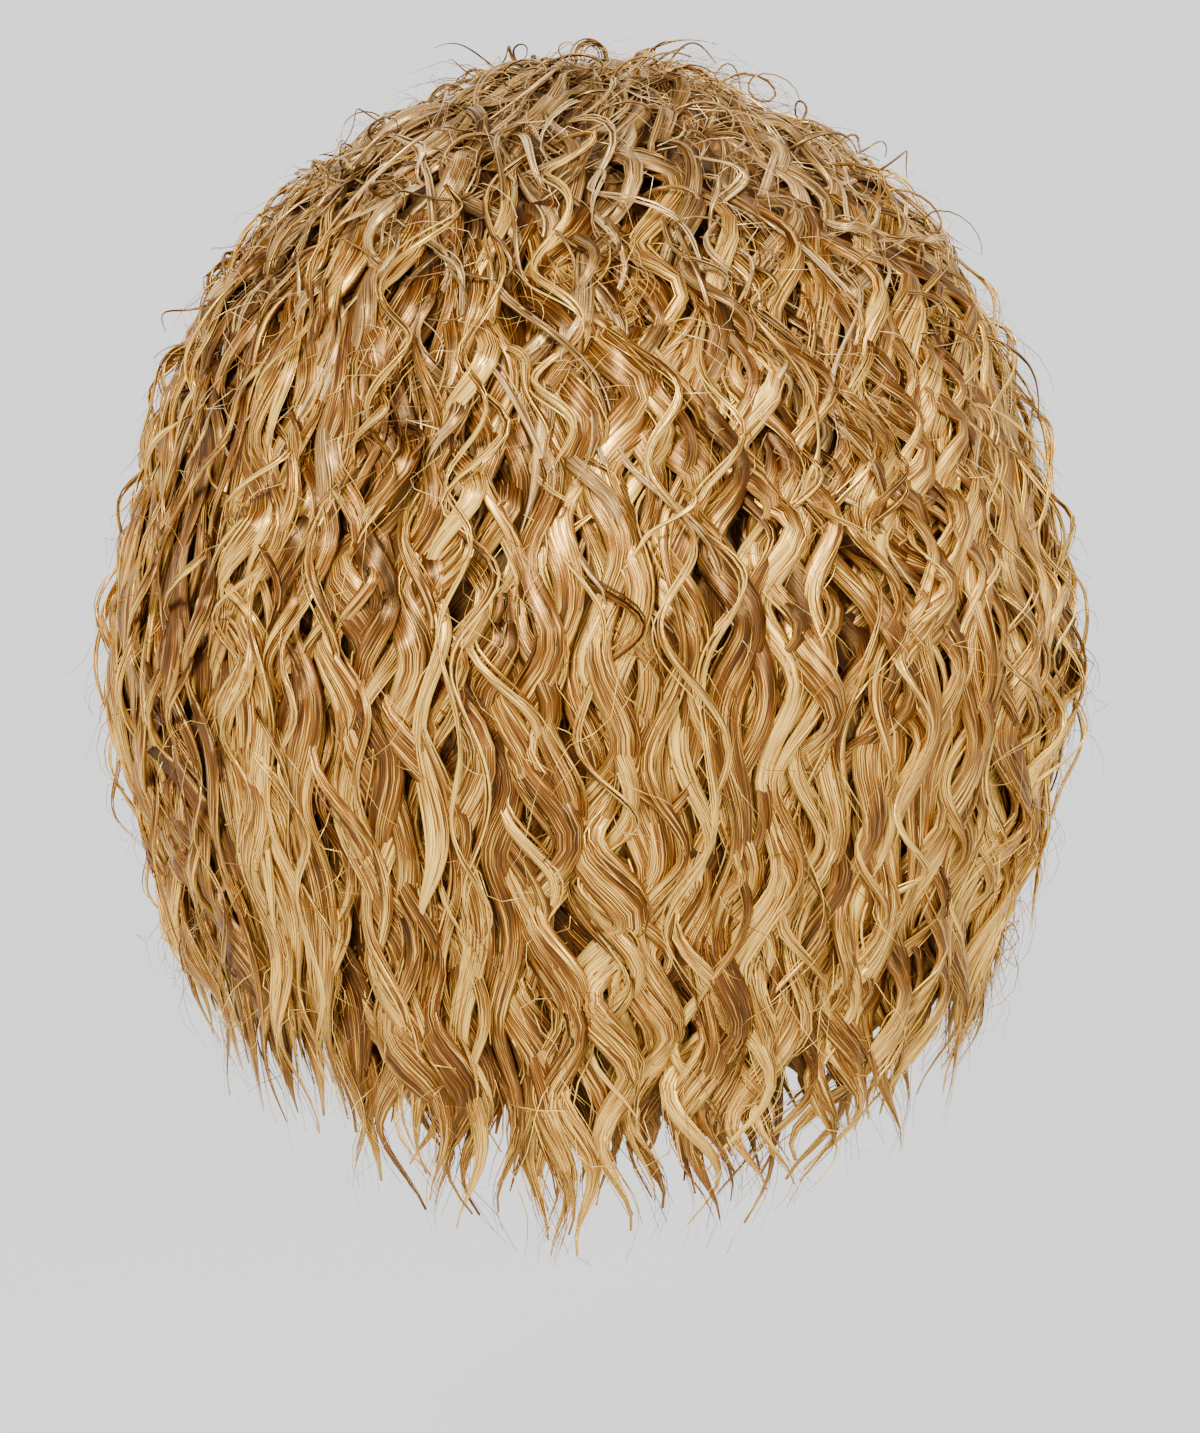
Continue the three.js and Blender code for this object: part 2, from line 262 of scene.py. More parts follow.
@dataclass
class StrandMesh:
    """Many swept strands gathered into one mesh, with a tone for each point."""

    points: list[Array] = field(default_factory=list)
    faces: list[Array] = field(default_factory=list)
    caps: list[Array] = field(default_factory=list)
    face_uv: list[Array] = field(default_factory=list)
    cap_uv: list[Array] = field(default_factory=list)
    tones: list[Array] = field(default_factory=list)
    count: int = 0
    groove: float = 0.28  # share of the thickness
    groove_shade_ridge_highlight: float = 0.18  # painted shade in a groove and painted highlight on a ridge: how much darker a groove is, and paler a ridge
    groove_aside: float = 0.4  # share of a groove's depth that goes sideways too
    next_place: float = 0.0731  # metres from one strand's place in the laid out skin to the next
    round_about: float = 2.2  # the way round a strand, as a share of its width

    def sweep(self, paths: Array, out: Array, width: Array, thickness: Array, tone: Array,
              strand: Strand, relief: Array | None = None) -> None:
        """Sweeps one kind of strand along many paths.

        Args:
            paths: Points of the paths, strands by steps by three.
            out: The outward direction at each point.
            width: The strand's width at each point.
            thickness: Its thickness at each point.
            tone: How pale the fibre is painted at each point, from 0 to 1, painted light and shade
                included.
            strand: The section to sweep.
            relief: How far each corner stands out, from -1 in a groove to 1 on a ridge; it also paints
                shade into a groove and a highlight onto a ridge.
        """
        sides = len(strand.value)
        strands, steps, _ = paths.shape
        if relief is None:
            relief = np.zeros((strands, steps, sides))
        ahead = unit(np.gradient(paths, axis=1))
        aside = unit(np.cross(ahead, out))
        up = np.cross(aside, ahead)
        turn = np.radians(strand.value)
        grooved = 1.0 + self.groove * relief
        sideways = (1.0 - self.groove_aside) + self.groove_aside * grooved
        ring = (
            paths[:, :, None]
            + aside[:, :, None] * (np.cos(turn) * width[..., None] / 2 * sideways)[..., None]
            + up[:, :, None] * (np.sin(turn) * thickness[..., None] / 2 * grooved)[..., None]
        )
        number = np.arange(strands * steps * sides).reshape(strands, steps, sides) + self.count
        self.count += number.size
        self.points.append(ring.reshape(-1, 3))
        # Grooves take painted shade and ridges a painted highlight in their tone
        self.tones.append((tone[..., None] + self.groove_shade_ridge_highlight * relief).reshape(-1))
        following = np.roll(number, -1, axis=2)
        quads = np.stack((number[:, :-1], following[:, :-1], following[:, 1:], number[:, 1:]), axis=-1)
        self.faces.append(quads.reshape(-1, 4))
        self.caps.append(number[:, 0, ::-1].reshape(-1, sides))
        self.caps.append(number[:, -1].reshape(-1, sides))
        self._lay_out(paths, width, sides)

    def _lay_out(self, paths: Array, width: Array, sides: int) -> None:
        """Lays the strands' skins out flat, in metres, each in a place of its own."""
        strands, steps, _ = paths.shape
        gone = np.linalg.norm(np.diff(paths, axis=1), axis=-1)
        down = np.concatenate((np.zeros((strands, 1)), np.cumsum(gone, axis=1)), axis=1)
        own_place = (np.arange(strands) * self.next_place)[:, None, None]
        around = np.arange(sides + 1) / sides * self.round_about
        u = own_place + around * width.max(axis=1)[:, None, None] + np.zeros((1, steps, 1))
        v = np.broadcast_to(down[:, :, None], u.shape)
        corner = np.stack((u, v), axis=-1)
        quads = np.stack(
            (corner[:, :-1, :-1], corner[:, :-1, 1:], corner[:, 1:, 1:], corner[:, 1:, :-1]), axis=-2
        )
        self.face_uv.append(quads.reshape(-1, 2))
        for end in (0, -1):
            self.cap_uv.append(np.repeat(corner[:, end, :1], sides, axis=1).reshape(-1, 2))

    def triangles(self) -> int:
        """Counts the triangles gathered so far."""
        return sum(2 * len(f) for f in self.faces) + sum(len(c) * (c.shape[1] - 2) for c in self.caps)

    def build(self, name: str) -> bpy.types.Object:
        """Joins all the strands into one mesh object.

        Args:
            name: The piece's name.

        Returns:
            The new object, linked to the scene.
        """
        rows = [face for block in self.faces + self.caps for face in block.tolist()]
        mesh = bpy.data.meshes.new(name)
        mesh.from_pydata(np.concatenate(self.points).tolist(), [], rows)
        laid = np.concatenate(self.face_uv + self.cap_uv)
        mesh.uv_layers.new(name="strand").data.foreach_set("uv", laid.astype(np.float32).ravel())
        tone = mesh.attributes.new("tone", "FLOAT", "POINT")
        tone.data.foreach_set("value", np.concatenate(self.tones).astype(np.float32))
        mesh.polygons.foreach_set("use_smooth", np.ones(len(rows), dtype=bool))
        mesh.update()
        piece = bpy.data.objects.new(name, mesh)
        bpy.context.scene.collection.objects.link(piece)
        return piece


@dataclass(frozen=True)
class Tress:
    """A family of locks that hang in one part of the wig."""

    name: str
    node: str
    slot: str
    turns: Range
    locks: int
    start: Range
    end: Range  # measured from the hem, down is positive
    seed: int
    depth: Range = (1.0 * MM, 11.0 * MM)  # below the outer form, once it has come out
    root_depth: float = 16.0 * MM
    width: Range = (6.0 * MM, 11.0 * MM)
    thickness: float = 0.45  # share of the width
    wave_length: Range = (46.0 * MM, 62.0 * MM)
    sway: Range = (4.5 * MM, 8.5 * MM)
    lift: Range = (1.5 * MM, 4.0 * MM)
    wander: Range = (0.0, 7.0 * MM)
    drift: Range = (-5.0, 5.0)
    filaments: int = 5
    filament_width: Range = (0.5 * MM, 1.3 * MM)
    tip_strands: int = 0  # short filaments that splay from a lock's last quarter
    tone: Range = (0.3, 0.75)
    tip_tone: float = 0.24  # how much paler the tone is towards the tip: partly paler fibre ends, partly painted light on tips that curl under out of the light
    core: Strand = Strand.BUNDLE
    core_width: float = 0.9  # share of the lock's width
    steps_in_a_wave: float = 8.0
    bank: float = 0.55  # how far a lock leans into each bend
    gather: float = 0.0  # how far the tips draw together in clumps, from 0 to 1


def column(values: Array) -> Array:
    """Stands values up in a column, one a lock, to meet shares of the way along a row."""
    return values[:, None]


@dataclass
class LockSet:
    """The random sizes of each lock of a tress, one value a lock."""

    turn: Array
    drift: Array
    start: Array
    end: Array
    depth: Array
    wave_length: Array
    sway: Array
    lift: Array
    beat: Array
    wander: Array
    wander_beat: Array
    width: Array
    tone: Array


@dataclass(frozen=True)
class FilamentLie:
    """How a filament lies over its lock. Shares are of the lock's way down."""

    twist: float = 1.6  # radians that it winds round the lock, either way
    off: Range = (0.55, 1.12)  # from the lock's middle line, beside half the lock's width
    reach: Range = (0.92, 1.03)  # its length beside the lock's
    beat: float = 0.3  # its wave runs ahead or behind by up to this, in radians
    swing: Range = (0.85, 1.2)  # its wave's size beside the lock's
    splay: float = 2.4  # how far a tip may spread, beside the lock's width
    splay_from: float = 0.86
    least_body: float = 0.35  # share of the lock's width that it lies round at the tip
    height: float = 0.55  # of the lock's thickness
    flatness: float = 0.62  # thickness beside its width
    begun: float = 0.04  # share by which it has its full width
    thinning: float = 0.8  # how much of its width it loses at the tip
    thin_from: float = 0.84
    finest: float = 0.12 * MM
    tone: tuple[float, float] = (0.03, 0.13)  # paler than the lock, and how that varies


@dataclass(frozen=True)
class LockSkin:
    """The ridges and the breadth of a lock. Shares are of its way down."""

    ridge: Range = (0.3, 1.0)  # height of a ridge or depth of a groove, beside the deepest
    ridge_part: float = 0.75  # share of the relief that stays the same all the way down
    swell: float = 0.55  # share that comes and goes
    pace: Range = (1.0, 3.5)  # times that it comes and goes
    smooth_from: float = 0.9
    broadening: float = 0.28  # how much the breadth changes
    broad_rounds: float = 2.3
    begun: Range = (-0.02, 0.08)  # shares between which it grows to its breadth
    tapering: float = 0.93  # how much of its breadth it loses at the tip
    taper_from: float = 0.86
    finest: float = 0.25 * MM


@dataclass
class HairMaker:
    """Makes the locks of a tress over the outer form of the hair.

    Shares are of a lock's way down, rounds are full turns of a sine on that way, and beats
    are in radians.
    """

    form: HairForm
    length: float = field(init=False)  # of the way down over the middle of the back
    lowest: float = 0.998  # share of the form's way down where the longest lock ends
    spread: float = 0.45  # how far a lock stands from its even place, as a share of the spacing
    beat: float = 3.0  # neighbours' waves run together, and drift apart round the wig
    beat_rounds: float = 3.0
    own_beat: float = 0.8
    step_bias: float = 0.8  # below 1, the steps lie closer towards the tip
    clump_turn: float = 8.5  # degrees from one clump of tips to the next
    clump_wander: float = 0.25
    clumped: Range = (0.5, 0.95)  # shares between which the tips draw together
    uneven: float = 0.7  # a wave runs ahead and behind by this
    uneven_rounds: float = 1.3
    grown: float = 0.14  # share by which the wave has its full size
    swell: tuple[float, float] = (0.85, 0.35)  # the wave's middle size and how it changes
    swell_rounds: float = 1.7
    wander_rounds: float = 0.8
    lift_lag: float = 0.5  # how far the lift follows the wander's beat
    come_out: float = 0.2  # share by which a lock has come out to its own depth
    painted_light: float = 0.17  # painted highlight: paler by this where the wave turns to the light
    painted_highlight_lead: float = 0.9  # the painted highlight runs ahead of the bend by this
    painted_depth_shade: float = 18.0  # painted shade and light: paler by this for each metre that a strand stands further out, darker the deeper it lies
    rise_from: float = 6.0 * MM
    core_painted_shade: float = 0.06  # painted shade: a lock's core, under its filaments, is darker than them by this
    tip_length: float = 0.24  # share of the way that the tip strands take up
    tip_steps: int = 11
    lie: FilamentLie = FilamentLie()
    skin: LockSkin = LockSkin()

    def __post_init__(self) -> None:
        """Measures the form's way down."""
        self.length = self.form.way_down()

    def draw_locks(self, tress: Tress, rng: np.random.Generator) -> LockSet:
        """Draws each lock's own sizes from the tress's ranges.

        Args:
            tress: The family of locks.
            rng: Its seeded generator.

        Returns:
            The sizes, one value a lock.
        """
        n = tress.locks

        def draw(span: Range) -> Array:
            """Draws one value a lock."""
            return rng.uniform(span[0], span[1], n)

        low, high = tress.turns
        evenly = (np.arange(n) + 0.5 + rng.uniform(-self.spread, self.spread, n)) / n
        turn = low + (high - low) * evenly
        end = self.form.hem(turn) + draw(tress.end)
        shared_beat = self.beat * np.sin(np.radians(turn) * self.beat_rounds)
        return LockSet(
            turn=turn,
            drift=draw(tress.drift),
            start=draw(tress.start),
            end=np.minimum(end, self.lowest),
            depth=draw(tress.depth),
            wave_length=draw(tress.wave_length),
            sway=draw(tress.sway),
            lift=draw(tress.lift),
            beat=shared_beat + rng.uniform(-self.own_beat, self.own_beat, n),
            wander=draw(tress.wander),
            wander_beat=rng.uniform(0, TURN, n),
            width=draw(tress.width),
            tone=draw(tress.tone),
        )

    def trace(self, tress: Tress, locks: LockSet, share: Array, beat: Array, swing: Array,
              reach: Array) -> tuple[Array, Array, Array]:
        """Traces the middle lines of locks, or of strands that go with them.

        Args:
            tress: The family of locks.
            locks: The locks' sizes, one value a line.
            share: Shares of the way along each line.
            beat: How far each line's wave runs ahead of its lock's.
            swing: How large each line's wave is beside its lock's.
            reach: How long each line is beside its lock.

        Returns:
            The lines' points, the way that the lock faces there, and how much paler it is painted: a
            painted highlight where the wave turns to the light, and painted shade by depth.
        """
        at = share[None, :] * column(reach)
        along = column(locks.start) + column(locks.end - locks.start) * at
        along = np.clip(along, 0.0, 1.0)
        length = column(locks.end - locks.start) * self.length
        turn = column(locks.turn) + column(locks.drift) * at
        nearest = np.round(locks.turn / self.clump_turn + self.clump_wander * np.sin(locks.turn))
        clump = column(nearest * self.clump_turn - locks.turn)
        turn = turn + tress.gather * clump * smoothstep(at, *self.clumped)
        out, aside = self.form.directions(turn, along)
        phase = TURN * length * at / column(locks.wave_length) + column(locks.beat + beat)
        wander_beat = column(locks.wander_beat)
        phase = phase + self.uneven * np.sin(TURN * at * self.uneven_rounds + wander_beat)
        middle, change = self.swell
        swell = middle + change * np.sin(TURN * at * self.swell_rounds + column(locks.beat))
        grown = smoothstep(at, 0.0, self.grown) * swell
        sway = column(locks.sway * swing) * grown * np.sin(phase)
        sway = sway + column(locks.wander) * np.sin(TURN * self.wander_rounds * at + wander_beat)
        lift = column(locks.lift * swing) * grown * np.cos(phase + wander_beat * self.lift_lag)
        come_out = smoothstep(at, 0.0, self.come_out)
        under = tress.root_depth + (column(locks.depth) - tress.root_depth) * come_out
        points = self.form.point(turn, along) + aside * sway[..., None] + out * (lift - under)[..., None]
        facing = unit(out + aside * (tress.bank * grown * np.sin(phase))[..., None])
        # Painted highlight where the wave turns to the light, then painted shade on strands deep among
        # the locks and painted light on those that stand out
        painted_light = self.painted_light * grown * np.sin(phase + self.painted_highlight_lead)
        painted_light = painted_light + self.painted_depth_shade * (lift - under + self.rise_from)
        return points, facing, painted_light

    def add_locks(self, gathered: StrandMesh, tress: Tress) -> None:
        """Adds the locks of a tress, each a core with filaments laid over it.

        Args:
            gathered: The mesh that takes them.
            tress: The family of locks.
        """
        rng = np.random.default_rng(tress.seed)
        locks = self.draw_locks(tress, rng)
        longest = float((locks.end - locks.start).max()) * self.length
        steps = int(longest / np.mean(tress.wave_length) * tress.steps_in_a_wave) + 3
        share = np.linspace(0.0, 1.0, steps) ** self.step_bias
        nothing = np.zeros(tress.locks)
        whole = np.ones(tress.locks)
        middle, out, painted_light = self.trace(tress, locks, share, nothing, whole, whole)
        breadth = self.breadth(locks, share, rng)
        # The core's tone takes the painted highlight and depth shade, painted shade for lying under its
        # filaments, and paler tips that are partly painted light
        core_tone = column(locks.tone) + painted_light + tress.tip_tone * share - self.core_painted_shade
        core = breadth * tress.core_width
        relief = self.relief(tress, share, rng)
        gathered.sweep(middle, out, core, core * tress.thickness, core_tone, tress.core, relief)
        for _ in range(tress.filaments):
            self.add_filament(gathered, tress, locks, share, breadth, rng)
        tips = 1.0 - self.tip_length * np.linspace(1.0, 0.0, self.tip_steps)
        tip_breadth = self.at_share(breadth, share, tips)
        for _ in range(tress.tip_strands):
            self.add_filament(gathered, tress, locks, tips, tip_breadth, rng)

    @staticmethod
    def at_share(values: Array, share: Array, wanted: Array) -> Array:
        """Reads values that are known at some shares of the way, at others.

        Args:
            values: The values, locks by steps.
            share: The shares that they are known at.
            wanted: The shares to read.

        Returns:
            The values at the wanted shares.
        """
        return np.stack([np.interp(wanted, share, row) for row in values])

    def add_filament(self, gathered: StrandMesh, tress: Tress, locks: LockSet, share: Array,
                     breadth: Array, rng: np.random.Generator) -> None:
        """Lays one more filament over every lock, on its own way round it.

        Args:
            gathered: The mesh that takes them.
            tress: The family of locks.
            locks: The locks' sizes.
            share: Shares of the way along each lock.
            breadth: The locks' widths there.
            rng: The tress's seeded generator.
        """
        lie, n = self.lie, tress.locks
        around = rng.uniform(0.0, np.pi, n)
        twist = rng.uniform(-lie.twist, lie.twist, n)
        off = rng.uniform(*lie.off, n)
        reach = rng.uniform(*lie.reach, n)
        beat = rng.uniform(-lie.beat, lie.beat, n)
        swing = rng.uniform(*lie.swing, n)
        line, out, painted_light = self.trace(tress, locks, share, beat, swing, reach)
        beside = unit(np.cross(unit(np.gradient(line, axis=1)), out))
        angle = column(around) + column(twist) * share
        spread = lie.splay * smoothstep(share, lie.splay_from, 1.0)
        splay = 1.0 + spread * column(rng.uniform(0.0, 1.0, n))
        body = np.maximum(breadth, lie.least_body * column(locks.width))
        aside = np.cos(angle) * column(off) * body * 0.5 * splay
        above = np.abs(np.sin(angle)) * column(off) * body * tress.thickness * lie.height
        line = line + beside * aside[..., None] + out * above[..., None]
        fine = column(rng.uniform(*tress.filament_width, n))
        thinned = 1.0 - lie.thinning * smoothstep(share, lie.thin_from, 1.0)
        size = np.maximum(fine * (smoothstep(share, 0.0, lie.begun) * thinned), lie.finest)
        own_tone = locks.tone + rng.normal(*lie.tone, n)
        # The filament's tone takes the painted highlight and depth shade, and paler tips that are partly
        # painted light
        tone = column(own_tone) + painted_light + tress.tip_tone * share
        gathered.sweep(line, out, size, size * lie.flatness, tone, Strand.FINE)

    def relief(self, tress: Tress, share: Array, rng: np.random.Generator) -> Array:
        """Gives the ridges and grooves of each lock, where its strands of fibre lie.

        Args:
            tress: The family of locks.
            share: Shares of the way down.
            rng: The tress's seeded generator.

        Returns:
            The relief, locks by steps by corners.
        """
        skin, sides = self.skin, len(tress.core.value)
        each = (tress.locks, 1, sides)
        ridges = np.where(np.arange(sides) % 2 == 0, 1.0, -1.0) * rng.uniform(*skin.ridge, each)
        begin = rng.uniform(0.0, TURN, each)
        pace = rng.uniform(*skin.pace, each)
        swell = skin.swell * np.sin(TURN * pace * share[None, :, None] + begin)
        smoothed = 1.0 - smoothstep(share, skin.smooth_from, 1.0)
        return (skin.ridge_part * ridges + swell) * smoothed[None, :, None]

    def breadth(self, locks: LockSet, share: Array, rng: np.random.Generator) -> Array:
        """Gives each lock's width on its way down: fuller and narrower, then a point.

        Args:
            locks: The locks' sizes.
            share: Shares of the way down.
            rng: The tress's seeded generator.

        Returns:
            The widths, locks by steps.
        """
        skin = self.skin
        start = column(rng.uniform(0, TURN, len(locks.width)))
        swell = 1.0 + skin.broadening * np.sin(TURN * share * skin.broad_rounds + start)
        tapered = 1.0 - skin.tapering * smoothstep(share, skin.taper_from, 1.0)
        ends = smoothstep(share, *skin.begun) * tapered
        return np.maximum(column(locks.width) * swell * ends, skin.finest)


@dataclass(frozen=True)
class Flyaways:
    """Single fine hairs that have come out of the locks."""

    name: str
    node: str
    slot: str
    seed: int
    hairs: int
    turns: Range
    along: Range
    length: Range
    rise: Range
    curl: Range
    width: Range = (0.22 * MM, 0.42 * MM)
    tone: Range = (0.6, 1.0)
    steps: int = 9
    above_hem: float = 0.08  # share of the way down that they start above the hem at least
    heading: float = 1.1  # radians from straight down, either way
    rounds: Range = (0.5, 2.2)  # times that a hair curls
    rooted: float = 4.0 * MM  # below the outer form
    hump: float = 0.62  # share of a half turn in which a hair rises and comes down again
    curl_out: float = 0.6  # how far it curls outwards beside how far sideways
    thinning: float = 0.7

    def add(self, gathered: StrandMesh, form: HairForm) -> None:
        """Adds the hairs: each starts in the locks and wanders out of them.

        Args:
            gathered: The mesh that takes them.
            form: The outer form of the hair.
        """
        rng = np.random.default_rng(self.seed)

        def draw(span: Range) -> Array:
            """Draws one value a hair."""
            return column(rng.uniform(span[0], span[1], self.hairs))

        share = np.linspace(0.0, 1.0, self.steps)[None, :]
        turn, along = draw(self.turns), draw(self.along)
        along = np.minimum(along, form.hem(turn) - self.above_hem)
        out, aside = form.directions(turn, along)
        down = unit(np.cross(out, aside))
        down = down * np.sign(-down[..., 2:3] + 1e-6)
        heading = draw((-1.0, 1.0)) * self.heading
        length, rise, curl = draw(self.length), draw(self.rise), draw(self.curl)
        rounds = draw(self.rounds)
        begin = draw((0.0, TURN))
        ahead = down * np.cos(heading)[..., None] + aside * np.sin(heading)[..., None]
        across = unit(np.cross(out, ahead))
        root = form.point(turn, along) - out * self.rooted
        beat = TURN * share * rounds + begin
        sideways = curl * np.sin(beat)
        outwards = rise * np.sin(np.pi * self.hump * share) + self.curl_out * curl * np.cos(beat)
        line = (
            root
            + ahead * (length * share)[..., None]
            + across * sideways[..., None]
            + out * outwards[..., None]
        )
        outward = np.broadcast_to(out, line.shape)
        size = draw(self.width) * (1.0 - self.thinning * share**2)
        tone = draw(self.tone) + np.zeros_like(share)
        gathered.sweep(line, outward, size, size, tone, Strand.FINE)


@dataclass(frozen=True)
class TopLoop:
    """The small loop of hair that stands up in the middle of the crown."""

    name: str = "top_loop"
    place: tuple[float, float, float] = (1.0 * MM, 12.0 * MM, 28.0 * MM)
    radius: float = 4.8 * MM
    strands: int = 9
    width: float = 0.6 * MM
    flatness: float = 0.8
    seed: int = 61
    round_about: float = 2.7  # radians from its top to each foot
    steps: int = 30
    feet_from: float = 1.9  # radians from its top where the feet begin to part
    feet_part: float = 1.6
    foot_drop: float = 9.0 * MM
    size: Range = (0.7, 1.2)  # a strand's radius beside the loop's
    loose: Range = (-1.2 * MM, 1.2 * MM)  # how far a strand stands from the loop's middle
    slant: float = 1.5 * MM
    tone: Range = (0.25, 0.6)

    def add(self, gathered: StrandMesh) -> None:
        """Adds the loop's strands, side by side, with both ends down in the hair.

        Args:
            gathered: The mesh that takes them.
        """
        rng = np.random.default_rng(self.seed)
        round_it = np.linspace(-self.round_about, self.round_about, self.steps)
        foot = smoothstep(np.abs(round_it), self.feet_from, self.round_about)
        lines = []
        for _ in range(self.strands):
            radius = self.radius * rng.uniform(*self.size)
            loose_aside, loose_back = rng.uniform(*self.loose), rng.uniform(*self.loose)
            aside = radius * np.sin(round_it) * (1.0 + self.feet_part * foot) + loose_aside
            up = radius * np.cos(round_it) - self.foot_drop * foot
            depth = loose_back + self.slant * np.sin(round_it)
            lines.append(np.stack((aside, depth, up), axis=-1) + np.array(self.place))
        paths = np.stack(lines)
        facing = np.broadcast_to(np.array((0.0, 1.0, 0.0)), paths.shape)
        size = np.full(paths.shape[:2], self.width)
        tone = rng.uniform(*self.tone, (self.strands, 1)) + np.zeros(paths.shape[:2])
        gathered.sweep(paths, facing, size, size * self.flatness, tone, Strand.FINE)


def linear(hex_colour: str) -> tuple[float, float, float, float]:
    """Turns an sRGB hex colour to Blender's linear one."""
    parts = [int(hex_colour[i:i + 2], 16) / 255 for i in (1, 3, 5)]
    return (*(p / 12.92 if p <= 0.04045 else ((p + 0.055) / 1.055) ** 2.4 for p in parts), 1.0)


def add_node(tree: bpy.types.NodeTree, kind: str, links: dict | None = None,
             **settings: object) -> bpy.types.Node:
    """Adds a node with its settings, input values and links.

    Args:
        tree: The node tree.
        kind: The node's Blender type.
        links: Input name or number to the socket or the value that it takes.
        **settings: The node's own properties.

    Returns:
        The new node.
    """
    node = tree.nodes.new(kind)
    for key, value in settings.items():
        setattr(node, key, value)
    for key, value in (links or {}).items():
        if isinstance(value, bpy.types.NodeSocket):
            tree.links.new(value, node.inputs[key])
        else:
            node.inputs[key].default_value = value
    return node


@dataclass(frozen=True)
class WavedFibre:
    """Waved wig fibre: drawn filaments with a silky gloss, in a blend of golds.

    Fine stripes lie along every strand, because each one stands for several fibres.
    """

    name: str
    shades: tuple[str, ...]
    roughness: float = 0.3
    through: float = 0.35  # metallic, for the light that comes back out of a fibre in its colour
    gleam: str = "#ffdc94"
    along_fibres: float = 0.6  # gloss drawn out across the fibres, as round fibres side by side give
    stripe: float = 0.36 * MM  # a few fibres side by side, one alone is too fine to show
    run: float = 24.0 * MM  # how far a stripe keeps its tone
    relief: float = 0.25 * MM
    contrast: float = 2.4  # between pale and dark stripes, as a share of the range of shades
    bump: float = 0.4

    def material(self) -> bpy.types.Material:
        """Builds the material."""
        material = bpy.data.materials.new(self.name)
        material.use_nodes = True
        tree = material.node_tree
        tree.nodes.clear()
        laid = add_node(tree, "ShaderNodeUVMap", uv_map="strand").outputs["UV"]
        stretched = add_node(
            tree, "ShaderNodeMapping", {"Vector": laid, "Scale": (1.0 / self.stripe, 1.0 / self.run, 1.0)}
        ).outputs["Vector"]
        fibres = add_node(
            tree, "ShaderNodeTexNoise",
            {"Vector": stretched, "Scale": 1.0, "Detail": 2.0, "Roughness": 0.6}, noise_dimensions="2D",
        ).outputs["Fac"]
        tone = add_node(tree, "ShaderNodeAttribute", attribute_name="tone").outputs["Fac"]
        striped = add_node(
            tree, "ShaderNodeMath", {0: fibres, 1: self.contrast, 2: tone}, operation="MULTIPLY_ADD"
        ).outputs[0]
        centred = add_node(
            tree, "ShaderNodeMath", {0: striped, 1: self.contrast / 2}, operation="SUBTRACT"
        ).outputs[0]
        ramp = add_node(tree, "ShaderNodeValToRGB", {"Fac": centred})
        stops = ramp.color_ramp.elements
        while len(stops) < len(self.shades):
            stops.new(0.5)
        for i, shade in enumerate(self.shades):
            stops[i].position = i / (len(self.shades) - 1)
            stops[i].color = linear(shade)
        bump = add_node(
            tree, "ShaderNodeBump", {"Height": fibres, "Strength": self.bump, "Distance": self.relief}
        ).outputs["Normal"]
        across = add_node(
            tree, "ShaderNodeTangent", direction_type="UV_MAP", uv_map="strand"
        ).outputs["Tangent"]
        surface = add_node(
            tree, "ShaderNodeBsdfPrincipled",
            {
                "Base Color": ramp.outputs["Color"], "Normal": bump, "Roughness": self.roughness,
                "Metallic": self.through,
                "IOR": 1.55, "Specular IOR Level": 0.7, "Specular Tint": linear(self.gleam),
                "Anisotropic": self.along_fibres, "Tangent": across,
            },
        )
        add_node(tree, "ShaderNodeOutputMaterial", {"Surface": surface.outputs["BSDF"]})
        return material


@dataclass(frozen=True)
class StretchNet:
    """Stretch net of the cap: matte knitted nylon with rows of small meshes, its holes painted dark with
    shade.
    """

    name: str = "knitted_stretch_net"
    light: str = "#8a6440"
    # The dark colour is painted shade in the net's holes, where the cap's shaded hollow would show
    # through
    dark: str = "#4a3018"
    mesh: float = 2.2 * MM
    thread: float = 0.4 * MM
    edges: Range = (0.08, 0.3)  # where a thread's pale middle ends and the painted shade of its hole begins

    def material(self) -> bpy.types.Material:
        """Builds the material."""
        material = bpy.data.materials.new(self.name)
        material.use_nodes = True
        tree = material.node_tree
        tree.nodes.clear()
        place = add_node(tree, "ShaderNodeTexCoord").outputs["Object"]
        cells = add_node(
            tree, "ShaderNodeTexVoronoi", {"Vector": place, "Scale": 1.0 / self.mesh},
            feature="DISTANCE_TO_EDGE",
        ).outputs["Distance"]
        ramp = add_node(tree, "ShaderNodeValToRGB", {"Fac": cells})
        for stop, shade, position in zip(ramp.color_ramp.elements, (self.light, self.dark), self.edges):
            stop.position = position
            stop.color = linear(shade)
        bump = add_node(
            tree, "ShaderNodeBump", {"Height": cells, "Strength": -0.7, "Distance": self.thread}
        ).outputs["Normal"]
        surface = add_node(
            tree, "ShaderNodeBsdfPrincipled",
            {"Base Color": ramp.outputs["Color"], "Normal": bump, "Roughness": 0.85, "Sheen Weight": 0.2},
        )
        add_node(tree, "ShaderNodeOutputMaterial", {"Surface": surface.outputs["BSDF"]})
        return material


class Finish(Enum):
    """The finishes of the wig's pieces."""

    WAVES = WavedFibre("waved_fibre_gold", ("#1c0b02", "#401d04", "#60310b", "#965b1b", "#facb62"))
    CROWN = WavedFibre("waved_fibre_crown", ("#26140a", "#543416", "#815a2c", "#b08444", "#ecc788"))
    UNDER = WavedFibre("waved_fibre_under", ("#1a0a02", "#421f06", "#6e3d10", "#a1682a", "#d8a65c"), 0.5)
    NET = StretchNet()


